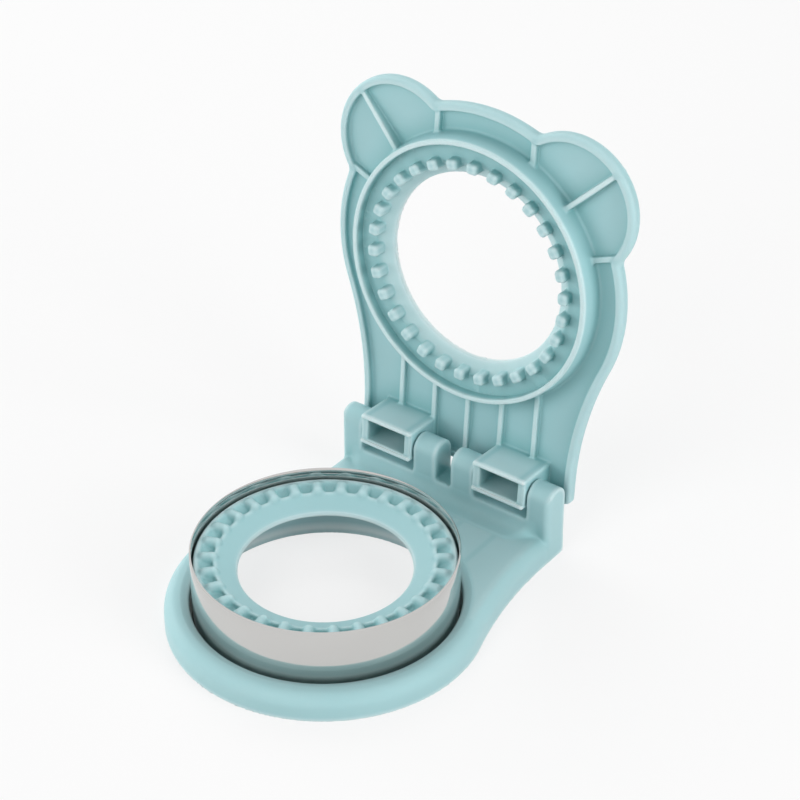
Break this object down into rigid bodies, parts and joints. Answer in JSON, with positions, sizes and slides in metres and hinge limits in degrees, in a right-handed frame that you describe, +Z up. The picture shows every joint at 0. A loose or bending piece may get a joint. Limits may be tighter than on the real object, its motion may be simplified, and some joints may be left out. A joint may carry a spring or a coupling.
{
  "type": "sandwich pocket cutter",
  "caption": "Hinged mint plastic sandwich cutter and sealer with a two-eared lid and a stainless steel cutting ring.",
  "frame": {"origin": "under the middle of the whole with its lid open, on the table plane; the axis of the steel ring is 18.8 mm in front of it", "axes": "+X along the hinge axis to the right as seen from the round front, +Y back towards the hinge, +Z up"},
  "size_m": [0.1162, 0.1441, 0.1505],
  "materials": {
    "mint_plastic": "satin moulded",
    "stainless_steel": "bright rolled strip"
  },
  "bodies": {
    "base": {"base": "mint_plastic", "crimp_ring": "mint_plastic", "cutter_ring": "stainless_steel"},
    "lid": {"lid": "mint_plastic"}
  },
  "joints": [
    {"name": "lid_hinge", "type": "hinge", "parent": "base", "child": "lid", "pos_m": [0, 0.05124, 0.0235], "axis": [1, 0, 0], "range_deg": [-15, 94]}
  ]
}
